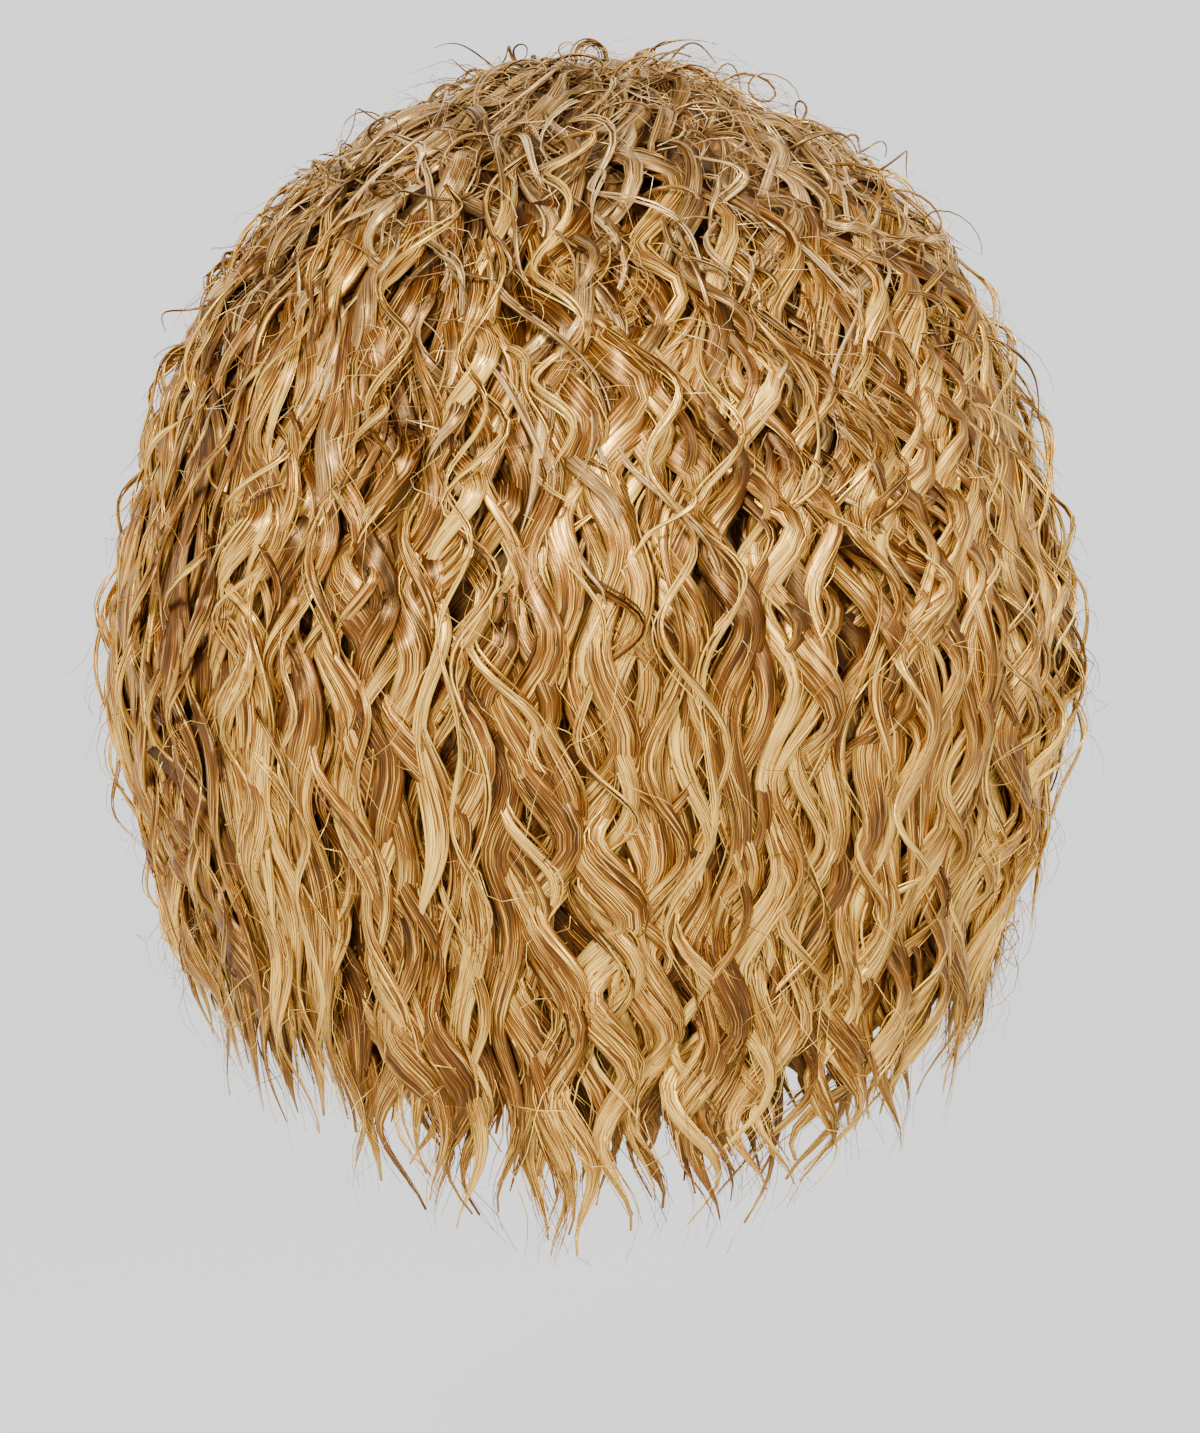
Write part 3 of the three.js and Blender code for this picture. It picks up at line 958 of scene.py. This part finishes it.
def tresses() -> tuple[tuple[Tress, Finish], ...]:
    """Lists the families of locks with their finishes."""
    wave = Tress("back_waves", "back_hair", "back_locks", (-84, 84), 60, (0.12, 0.3), HEM_ENDS, 11)
    broad = replace(
        wave, width=(8.0 * MM, 15.0 * MM), thickness=0.27, filaments=2, gather=0.6, tip_strands=5,
        steps_in_a_wave=7.8, sway=(4.0 * MM, 8.0 * MM), wave_length=(50.0 * MM, 60.0 * MM),
        tone=(0.24, 0.64),
    )
    narrow = replace(
        wave, width=(3.5 * MM, 7.0 * MM), filaments=2, depth=(0.0, 7.0 * MM), tone=(0.3, 0.75),
        end=WISP_ENDS, core=Strand.SMALL_BUNDLE, gather=0.6, thickness=0.5, steps_in_a_wave=9.0,
    )
    stray = replace(
        narrow, width=(1.2 * MM, 2.8 * MM), filaments=2, depth=(-5.0 * MM, 2.0 * MM), start=(0.14, 0.55),
        end=(-0.5, -0.04), sway=(5.0 * MM, 10.0 * MM), lift=(2.0 * MM, 5.0 * MM), gather=0.0,
        drift=(-10.0, 10.0), root_depth=8.0 * MM, core=Strand.FINE, wave_length=(36.0 * MM, 60.0 * MM),
    )
    crown = Tress(
        "crown_curls", "crown_hair", "crown_locks", (-180, 180), 88, (0.0, 0.2), (-0.62, -0.36), 21,
        depth=(2.0 * MM, 9.0 * MM), root_depth=1.0 * MM, width=(4.5 * MM, 9.0 * MM), filaments=2,
        wave_length=(40.0 * MM, 64.0 * MM), sway=(4.0 * MM, 9.0 * MM), lift=(2.0 * MM, 6.0 * MM),
        wander=(2.0 * MM, 16.0 * MM), drift=(-26.0, 26.0), tone=(0.2, 0.6), bank=0.4,
        core=Strand.SMALL_BUNDLE, steps_in_a_wave=9.5,
    )
    frizz = replace(
        crown, name="crown_frizz", locks=100, start=(0.0, 0.3), end=(-0.68, -0.34), seed=22,
        root_depth=-1.0 * MM, depth=(-1.0 * MM, 6.0 * MM), width=(1.2 * MM, 3.0 * MM), core=Strand.FINE,
        wave_length=(34.0 * MM, 62.0 * MM), sway=(3.0 * MM, 9.0 * MM), lift=(2.0 * MM, 6.0 * MM),
        wander=(2.0 * MM, 24.0 * MM), drift=(-34.0, 34.0), tone=(0.3, 0.75), steps_in_a_wave=7.0,
    )
    under = Tress(
        "nape_waves", "nape_hair", "under_locks", (-80, 80), 44, (0.4, 0.52), (-0.06, 0.01), 31,
        depth=(14.0 * MM, 30.0 * MM), root_depth=40.0 * MM, width=(11.0 * MM, 17.0 * MM), filaments=2,
        tone=(0.28, 0.6), core=Strand.SMALL_BUNDLE, tip_tone=0.34, steps_in_a_wave=7.0, gather=0.5,
    )
    # The hair close to the cap, which shows between the locks
    filling = replace(
        under, name="crown_filling", node="crown_hair", slot="under_locks", turns=(-180, 180), locks=64,
        start=(0.0, 0.03), end=(-0.5, -0.42), depth=(10.0 * MM, 15.0 * MM), root_depth=13.0 * MM,
        width=(15.0 * MM, 24.0 * MM), thickness=0.25, filaments=0, seed=34, tone=(0.24, 0.54),
        tip_tone=0.0, core_width=1.0, steps_in_a_wave=4.6, gather=0.0,
    )
    back_filling = replace(
        filling, name="back_filling", node="back_hair", turns=(-146, 146), locks=90, start=(0.25, 0.35),
        end=(-0.12, -0.06), depth=(10.0 * MM, 15.0 * MM), root_depth=18.0 * MM, seed=35,
    )
    waves = []
    for name, node, slot, turns, amount, seed in (
        ("back_left", "back_hair", "back_locks", (28, 86), 1.0, 11),
        ("back_middle", "back_hair", "back_locks", (-28, 28), 1.0, 12),
        ("back_right", "back_hair", "back_locks", (-86, -28), 1.0, 13),
        ("left_side", "left_side_hair", "side_locks", (86, 146), 0.8, 14),
        ("right_side", "right_side_hair", "side_locks", (-146, -86), 0.8, 15),
    ):
        for kind, label, locks in ((broad, "waves", 36), (narrow, "wisps", 21), (stray, "strays", 14)):
            family = replace(
                kind, name=f"{name}_{label}", node=node, slot=slot, turns=turns,
                locks=int(locks * amount), seed=seed + 10 * locks,
            )
            waves.append((family, Finish.WAVES))
    front = replace(
        wave, slot="front_locks", locks=14, filaments=2, core=Strand.SMALL_BUNDLE, start=(0.16, 0.26),
        end=(-0.22, -0.12), root_depth=12.0 * MM, depth=(1.0 * MM, 8.0 * MM), drift=(-2.0, 2.0),
    )
    temple = replace(
        under, locks=14, start=(0.3, 0.42), end=(-0.06, 0.0), depth=(14.0 * MM, 26.0 * MM),
        root_depth=34.0 * MM,
    )

    def beside_front(family: Tress, place: str, turns: Range, seed: int) -> Tress:
        """Puts a family in one place beside the open front, such as the left temple."""
        return replace(family, name=f"{place}_waves", node=f"{place}_hair", turns=turns, seed=seed)

    return (
        (crown, Finish.CROWN),
        (frizz, Finish.CROWN),
        (filling, Finish.UNDER),
        (back_filling, Finish.UNDER),
        *waves,
        (beside_front(front, "left_front", (148, 168), 16), Finish.WAVES),
        (beside_front(front, "right_front", (-168, -148), 17), Finish.WAVES),
        (under, Finish.UNDER),
        (beside_front(temple, "left_temple", (86, 142), 32), Finish.UNDER),
        (beside_front(temple, "right_temple", (-142, -86), 33), Finish.UNDER),
    )


def flyaways() -> tuple[tuple[Flyaways, Finish], ...]:
    """Lists the loose hairs with their finishes."""
    return (
        (
            Flyaways(
                "crown_flyaways", "crown_hair", "crown_locks", 51, 800, (-150, 150), (0.0, 0.42),
                (18.0 * MM, 52.0 * MM), (1.0 * MM, 6.5 * MM), (1.0 * MM, 9.0 * MM),
            ),
            Finish.CROWN,
        ),
        (
            Flyaways(
                "crown_ringlets", "crown_hair", "crown_locks", 53, 110, (-170, 170), (0.02, 0.36),
                (16.0 * MM, 46.0 * MM), (3.0 * MM, 11.0 * MM), (4.0 * MM, 9.0 * MM),
                width=(0.7 * MM, 2.0 * MM), tone=(0.2, 0.6), steps=24,
            ),
            Finish.CROWN,
        ),
        (
            Flyaways(
                "wave_flyaways", "back_hair", "back_locks", 52, 600, (-138, 138), (0.3, 0.9),
                (20.0 * MM, 60.0 * MM), (2.0 * MM, 9.0 * MM), (1.0 * MM, 6.0 * MM),
            ),
            Finish.WAVES,
        ),
    )


class Wig:
    """The whole wig: its cap and its hair."""

    def __init__(self, frame: dict) -> None:
        """Keeps the frame and measures the hair's form from it."""
        self.frame = frame
        self.form = HairForm.of_frame()
        self.materials = {finish: finish.value.material() for finish in Finish}
        self.triangles = 0

    def dress_cap(self) -> None:
        """Gives the cap's own solid its net."""
        cap = self.frame["nodes"]["cap"]
        cap.data.materials.clear()
        cap.data.materials.append(self.materials[Finish.NET])
        log.info("cap keeps its solid")

    def settle(self, gathered: StrandMesh, name: str, node: str, finish: Finish) -> None:
        """Builds a gathered mesh and puts it in its node's place.

        Args:
            gathered: The strands.
            name: The piece's name.
            node: The node that it stands for.
            finish: Its finish.
        """
        piece = gathered.build(name)
        piece.data.materials.append(self.materials[finish])
        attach(piece, "root")
        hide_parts(node)
        self.triangles += gathered.triangles()
        log.info("%s: %d triangles", name, gathered.triangles())

    def make_hair(self) -> None:
        """Makes every family of locks and the loose hairs."""
        maker = HairMaker(self.form)
        for tress, finish in tresses():
            gathered = StrandMesh()
            maker.add_locks(gathered, tress)
            self.settle(gathered, tress.name, tress.node, finish)
        for hairs, finish in flyaways():
            gathered = StrandMesh()
            hairs.add(gathered, self.form)
            self.settle(gathered, hairs.name, hairs.node, finish)
        gathered = StrandMesh()
        loop = TopLoop()
        loop.add(gathered)
        self.settle(gathered, loop.name, "crown_hair", Finish.CROWN)
        log.info("all hair: %d triangles", self.triangles)


@dataclass(frozen=True)
class Lamp:
    """One soft square light."""

    name: str
    place: tuple[float, float, float]
    size: float
    power: float  # in watts


@dataclass
class Studio:
    """A pale sweep, soft light and the camera behind the wig, level with it."""

    distance: float = 1.6
    look_height: float = -0.1905
    look_aside: float = -0.002
    seen_height: float = 0.4777  # of the picture, at the wig
    floor_height: float = -0.47
    sweep_radius: float = 4.0
    sweep_bend: int = 9  # points in the curve from floor to wall
    wall_height: float = 4.0
    sweep_sides: int = 48
    sweep_glow: float = 1.3
    room_glow: float = 0.32
    lit: tuple[float, float, float] = (0.0, 0.0, -0.17)  # what the lamps face
    lamps: tuple[Lamp, ...] = (
        Lamp("key", (0.6, 1.5, 0.85), 0.4, 65.0),
        Lamp("fill", (-1.1, 1.3, 0.4), 0.4, 18.0),
        Lamp("front_top", (0.0, -1.0, 1.3), 1.2, 9.0),
    )

    def camera(self) -> None:
        """Sets the camera behind the wig at the photograph's angle."""
        data = bpy.data.cameras.new("camera")
        data.lens = data.sensor_width * self.distance / self.seen_height
        camera = bpy.data.objects.new("camera", data)
        camera.location = (self.look_aside, self.distance, self.look_height)
        camera.rotation_euler = (np.pi / 2, 0.0, np.pi)
        bpy.context.scene.collection.objects.link(camera)
        bpy.context.scene.camera = camera

    def light(self, lamp: Lamp) -> None:
        """Adds a lamp, turned to face the wig.

        Args:
            lamp: Its place, size and power.
        """
        data = bpy.data.lights.new(lamp.name, "AREA")
        data.shape = "SQUARE"
        data.size = lamp.size
        data.energy = lamp.power
        light = bpy.data.objects.new(lamp.name, data)
        light.location = lamp.place
        to = unit(np.array(self.lit) - np.array(lamp.place))
        light.rotation_euler = (np.arccos(-to[2]), 0.0, np.arctan2(to[1], to[0]) - np.pi / 2)
        bpy.context.scene.collection.objects.link(light)

    def sweep(self) -> None:
        """Makes the floor, which curves up into a pale wall all round."""
        shape = bmesh.new()
        bend = np.linspace(0.0, np.pi / 2, self.sweep_bend)
        curve = zip(self.sweep_radius + np.sin(bend), 1.0 - np.cos(bend))
        profile = [(0.0, 0.0), *curve, (self.sweep_radius + 1.0, self.wall_height)]
        points = [shape.verts.new((out, 0.0, self.floor_height + up)) for out, up in profile]
        edges = [shape.edges.new(pair) for pair in zip(points, points[1:])]
        bmesh.ops.spin(
            shape, geom=points + edges, cent=(0, 0, 0), axis=(0, 0, 1), angle=TURN,
            steps=self.sweep_sides, use_merge=True,
        )
        bmesh.ops.remove_doubles(shape, verts=shape.verts[:], dist=0.1 * MM)
        bmesh.ops.recalc_face_normals(shape, faces=shape.faces[:])
        bmesh.ops.reverse_faces(shape, faces=shape.faces[:])
        mesh = bpy.data.meshes.new("floor")
        shape.to_mesh(mesh)
        shape.free()
        mesh.polygons.foreach_set("use_smooth", np.ones(len(mesh.polygons), dtype=bool))
        floor = bpy.data.objects.new("floor", mesh)
        bpy.context.scene.collection.objects.link(floor)
        material = bpy.data.materials.new("pale_floor")
        material.use_nodes = True
        paint = material.node_tree.nodes["Principled BSDF"]
        paint.inputs["Base Color"].default_value = linear("#6b6a69")
        paint.inputs["Roughness"].default_value = 0.95
        paint.inputs["Specular IOR Level"].default_value = 0.0
        paint.inputs["Emission Color"].default_value = linear("#ffffff")
        paint.inputs["Emission Strength"].default_value = self.sweep_glow
        material.cycles.emission_sampling = "NONE"
        floor.data.materials.append(material)
        floor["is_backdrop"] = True

    def surroundings(self) -> None:
        """Lights the room evenly in near white."""
        world = bpy.data.worlds.new("room")
        world.use_nodes = True
        background = world.node_tree.nodes["Background"]
        background.inputs["Color"].default_value = linear("#ffffff")
        background.inputs["Strength"].default_value = self.room_glow
        bpy.context.scene.world = world

    def build(self) -> None:
        """Builds the whole studio."""
        self.camera()
        self.sweep()
        self.surroundings()
        for lamp in self.lamps:
            self.light(lamp)


def main() -> None:
    """Builds the wig round the frame, and the studio, and notes the sizes."""
    logging.basicConfig(level=logging.INFO, format="%(name)s: %(message)s")
    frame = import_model()
    wig = Wig(frame)
    wig.dress_cap()
    wig.make_hair()
    Studio().build()


if __name__ == "__main__":
    main()
